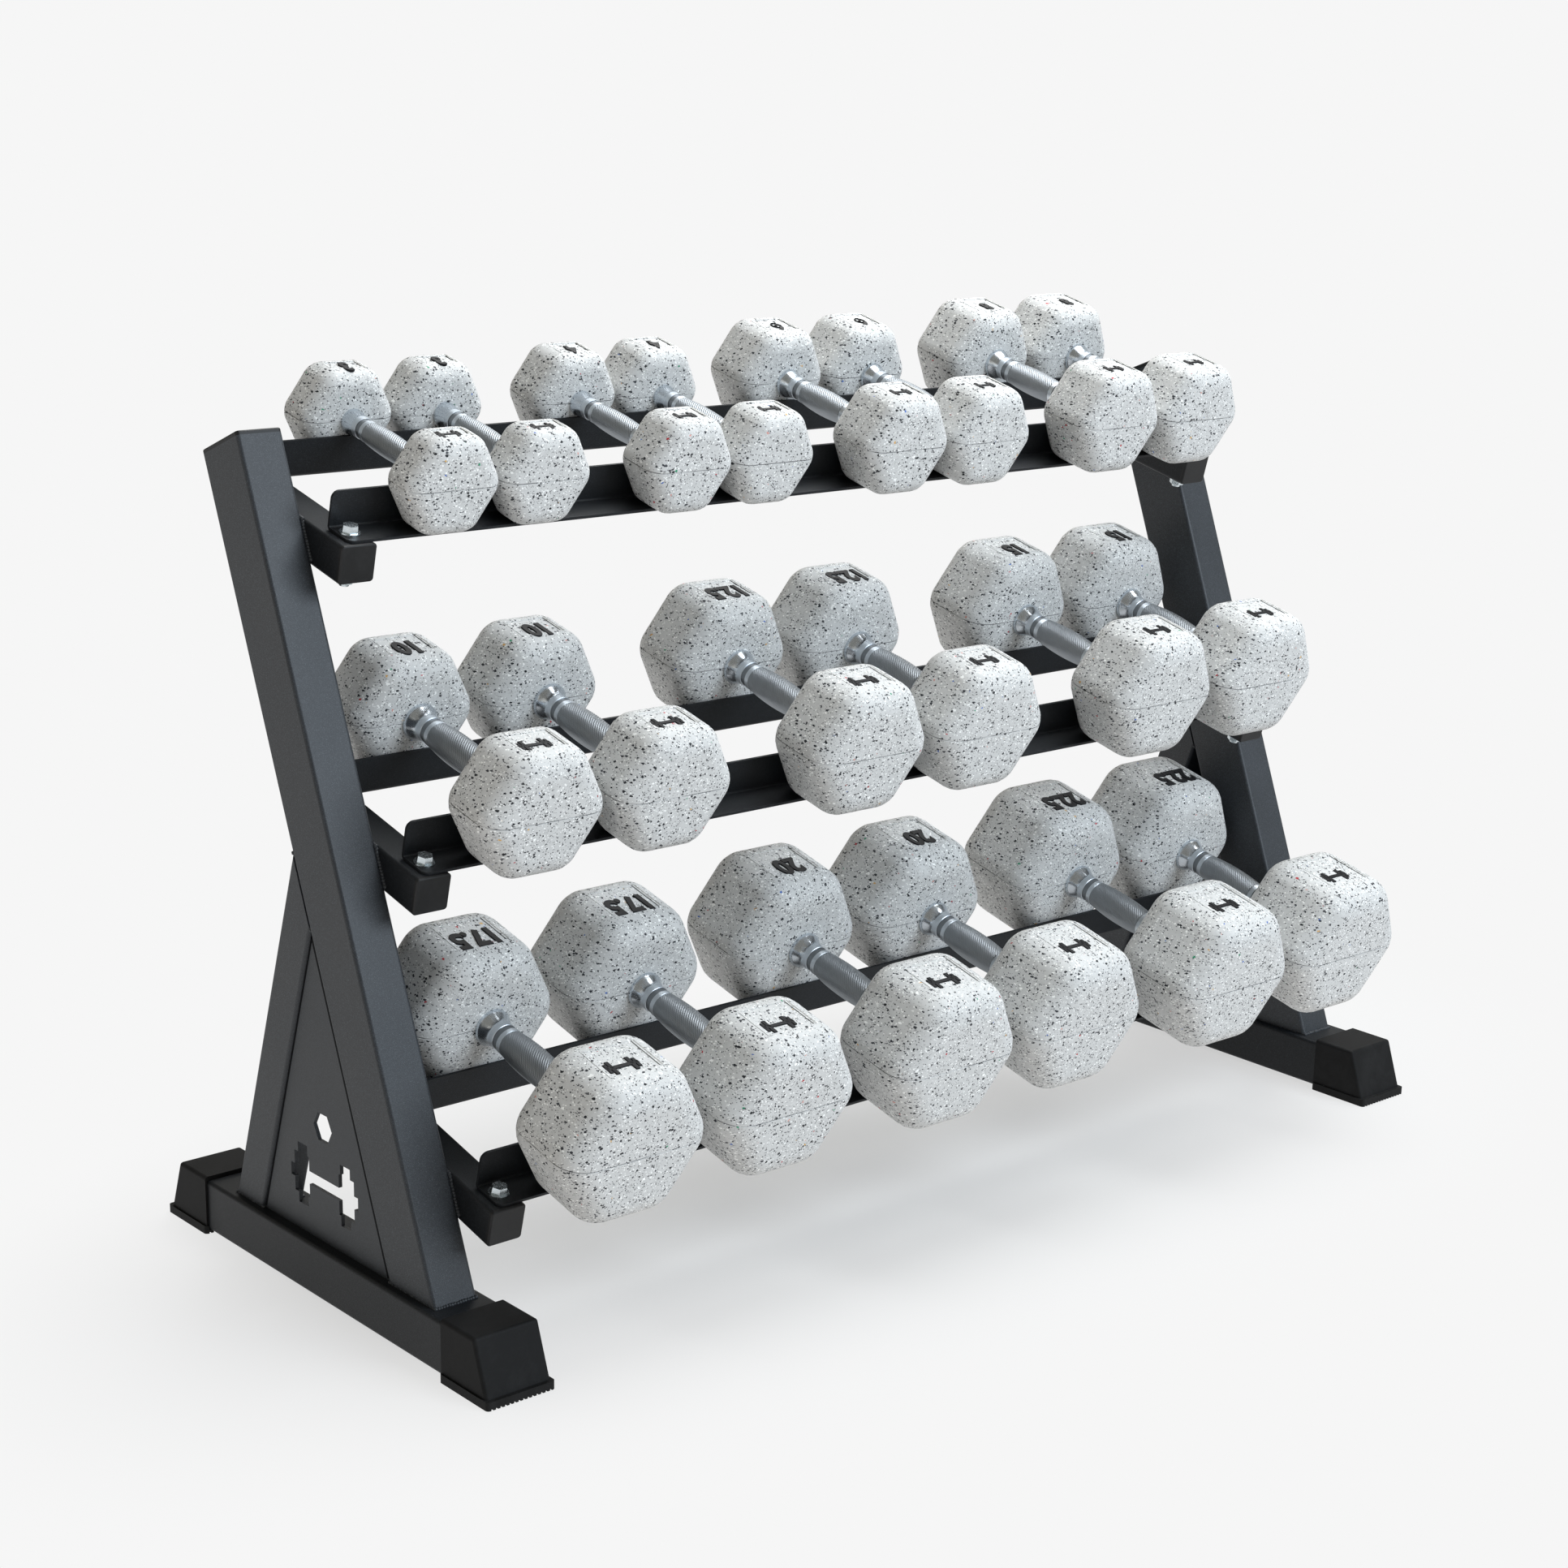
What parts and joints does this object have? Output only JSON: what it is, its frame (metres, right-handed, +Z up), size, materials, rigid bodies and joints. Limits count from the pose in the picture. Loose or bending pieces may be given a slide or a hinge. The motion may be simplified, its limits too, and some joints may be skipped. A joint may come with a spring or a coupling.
{
  "type": "dumbbell rack",
  "caption": "Free-standing three-tier steel rack with leaning uprights and angle-iron shelves, holding pairs of hexagonal speckled-rubber dumbbells.",
  "frame": {"origin": "on the floor, under the middle of the whole set's bounding box", "axes": "+X along the rack to the right, -Y towards the user at the front, +Z up"},
  "size_m": [1.379, 0.6492, 0.9436],
  "materials": {
    "black_powder_coat": "matte",
    "speckled_rubber": "matte",
    "chromed_steel": "polished",
    "black_rubber": "matte",
    "black_plastic": "matte",
    "zinc_steel": "satin"
  },
  "bodies": {
    "rack": {"left_base_tube": "black_powder_coat", "right_base_tube": "black_powder_coat", "left_upright": "black_powder_coat", "right_upright": "black_powder_coat", "left_rear_brace": "black_powder_coat", "right_rear_brace": "black_powder_coat", "left_gusset_plate": "black_powder_coat", "right_gusset_plate": "black_powder_coat", "left_shelf_arms": "black_powder_coat", "right_shelf_arms": "black_powder_coat", "top_front_rail": "black_powder_coat", "top_rear_rail": "black_powder_coat", "middle_front_rail": "black_powder_coat", "middle_rear_rail": "black_powder_coat", "bottom_front_rail": "black_powder_coat", "bottom_rear_rail": "black_powder_coat", "rubber_feet": "black_rubber", "end_caps": "black_plastic", "rail_bolts": "zinc_steel", "rail_nuts": "zinc_steel"},
    "dumbbell_3kg_left": {"dumbbell_3kg_left_heads": "speckled_rubber", "dumbbell_3kg_left_handle": "chromed_steel"},
    "dumbbell_3kg_right": {"dumbbell_3kg_right_heads": "speckled_rubber", "dumbbell_3kg_right_handle": "chromed_steel"},
    "dumbbell_4kg_left": {"dumbbell_4kg_left_heads": "speckled_rubber", "dumbbell_4kg_left_handle": "chromed_steel"},
    "dumbbell_4kg_right": {"dumbbell_4kg_right_heads": "speckled_rubber", "dumbbell_4kg_right_handle": "chromed_steel"},
    "dumbbell_6kg_left": {"dumbbell_6kg_left_heads": "speckled_rubber", "dumbbell_6kg_left_handle": "chromed_steel"},
    "dumbbell_6kg_right": {"dumbbell_6kg_right_heads": "speckled_rubber", "dumbbell_6kg_right_handle": "chromed_steel"},
    "dumbbell_8kg_left": {"dumbbell_8kg_left_heads": "speckled_rubber", "dumbbell_8kg_left_handle": "chromed_steel"},
    "dumbbell_8kg_right": {"dumbbell_8kg_right_heads": "speckled_rubber", "dumbbell_8kg_right_handle": "chromed_steel"},
    "dumbbell_10kg_left": {"dumbbell_10kg_left_heads": "speckled_rubber", "dumbbell_10kg_left_handle": "chromed_steel"},
    "dumbbell_10kg_right": {"dumbbell_10kg_right_heads": "speckled_rubber", "dumbbell_10kg_right_handle": "chromed_steel"},
    "dumbbell_12_5kg_left": {"dumbbell_12_5kg_left_heads": "speckled_rubber", "dumbbell_12_5kg_left_handle": "chromed_steel"},
    "dumbbell_12_5kg_right": {"dumbbell_12_5kg_right_heads": "speckled_rubber", "dumbbell_12_5kg_right_handle": "chromed_steel"},
    "dumbbell_15kg_left": {"dumbbell_15kg_left_heads": "speckled_rubber", "dumbbell_15kg_left_handle": "chromed_steel"},
    "dumbbell_15kg_right": {"dumbbell_15kg_right_heads": "speckled_rubber", "dumbbell_15kg_right_handle": "chromed_steel"},
    "dumbbell_17_5kg_left": {"dumbbell_17_5kg_left_heads": "speckled_rubber", "dumbbell_17_5kg_left_handle": "chromed_steel"},
    "dumbbell_17_5kg_right": {"dumbbell_17_5kg_right_heads": "speckled_rubber", "dumbbell_17_5kg_right_handle": "chromed_steel"},
    "dumbbell_20kg_left": {"dumbbell_20kg_left_heads": "speckled_rubber", "dumbbell_20kg_left_handle": "chromed_steel"},
    "dumbbell_20kg_right": {"dumbbell_20kg_right_heads": "speckled_rubber", "dumbbell_20kg_right_handle": "chromed_steel"},
    "dumbbell_22_5kg_left": {"dumbbell_22_5kg_left_heads": "speckled_rubber", "dumbbell_22_5kg_left_handle": "chromed_steel"},
    "dumbbell_22_5kg_right": {"dumbbell_22_5kg_right_heads": "speckled_rubber", "dumbbell_22_5kg_right_handle": "chromed_steel"}
  },
  "joints": [
    {"name": "dumbbell_3kg_left_lift", "type": "slide", "parent": "rack", "child": "dumbbell_3kg_left", "axis": [0, -0.2385, 0.9711], "range_m": [0, 0.25]},
    {"name": "dumbbell_3kg_right_lift", "type": "slide", "parent": "rack", "child": "dumbbell_3kg_right", "axis": [0, -0.2385, 0.9711], "range_m": [0, 0.25]},
    {"name": "dumbbell_4kg_left_lift", "type": "slide", "parent": "rack", "child": "dumbbell_4kg_left", "axis": [0, -0.2385, 0.9711], "range_m": [0, 0.25]},
    {"name": "dumbbell_4kg_right_lift", "type": "slide", "parent": "rack", "child": "dumbbell_4kg_right", "axis": [0, -0.2385, 0.9711], "range_m": [0, 0.25]},
    {"name": "dumbbell_6kg_left_lift", "type": "slide", "parent": "rack", "child": "dumbbell_6kg_left", "axis": [0, -0.2385, 0.9711], "range_m": [0, 0.25]},
    {"name": "dumbbell_6kg_right_lift", "type": "slide", "parent": "rack", "child": "dumbbell_6kg_right", "axis": [0, -0.2385, 0.9711], "range_m": [0, 0.25]},
    {"name": "dumbbell_8kg_left_lift", "type": "slide", "parent": "rack", "child": "dumbbell_8kg_left", "axis": [0, -0.2385, 0.9711], "range_m": [0, 0.25]},
    {"name": "dumbbell_8kg_right_lift", "type": "slide", "parent": "rack", "child": "dumbbell_8kg_right", "axis": [0, -0.2385, 0.9711], "range_m": [0, 0.25]},
    {"name": "dumbbell_10kg_left_lift", "type": "slide", "parent": "rack", "child": "dumbbell_10kg_left", "axis": [0, -0.2385, 0.9711], "range_m": [0, 0.055]},
    {"name": "dumbbell_10kg_right_lift", "type": "slide", "parent": "rack", "child": "dumbbell_10kg_right", "axis": [0, -0.2385, 0.9711], "range_m": [0, 0.055]},
    {"name": "dumbbell_12_5kg_left_lift", "type": "slide", "parent": "rack", "child": "dumbbell_12_5kg_left", "axis": [0, -0.2385, 0.9711], "range_m": [0, 0.055]},
    {"name": "dumbbell_12_5kg_right_lift", "type": "slide", "parent": "rack", "child": "dumbbell_12_5kg_right", "axis": [0, -0.2385, 0.9711], "range_m": [0, 0.055]},
    {"name": "dumbbell_15kg_left_lift", "type": "slide", "parent": "rack", "child": "dumbbell_15kg_left", "axis": [0, -0.2385, 0.9711], "range_m": [0, 0.055]},
    {"name": "dumbbell_15kg_right_lift", "type": "slide", "parent": "rack", "child": "dumbbell_15kg_right", "axis": [0, -0.2385, 0.9711], "range_m": [0, 0.055]},
    {"name": "dumbbell_17_5kg_left_lift", "type": "slide", "parent": "rack", "child": "dumbbell_17_5kg_left", "axis": [0, -0.2385, 0.9711], "range_m": [0, 0.04]},
    {"name": "dumbbell_17_5kg_right_lift", "type": "slide", "parent": "rack", "child": "dumbbell_17_5kg_right", "axis": [0, -0.2385, 0.9711], "range_m": [0, 0.04]},
    {"name": "dumbbell_20kg_left_lift", "type": "slide", "parent": "rack", "child": "dumbbell_20kg_left", "axis": [0, -0.2385, 0.9711], "range_m": [0, 0.04]},
    {"name": "dumbbell_20kg_right_lift", "type": "slide", "parent": "rack", "child": "dumbbell_20kg_right", "axis": [0, -0.2385, 0.9711], "range_m": [0, 0.04]},
    {"name": "dumbbell_22_5kg_left_lift", "type": "slide", "parent": "rack", "child": "dumbbell_22_5kg_left", "axis": [0, -0.2385, 0.9711], "range_m": [0, 0.04]},
    {"name": "dumbbell_22_5kg_right_lift", "type": "slide", "parent": "rack", "child": "dumbbell_22_5kg_right", "axis": [0, -0.2385, 0.9711], "range_m": [0, 0.04]}
  ]
}
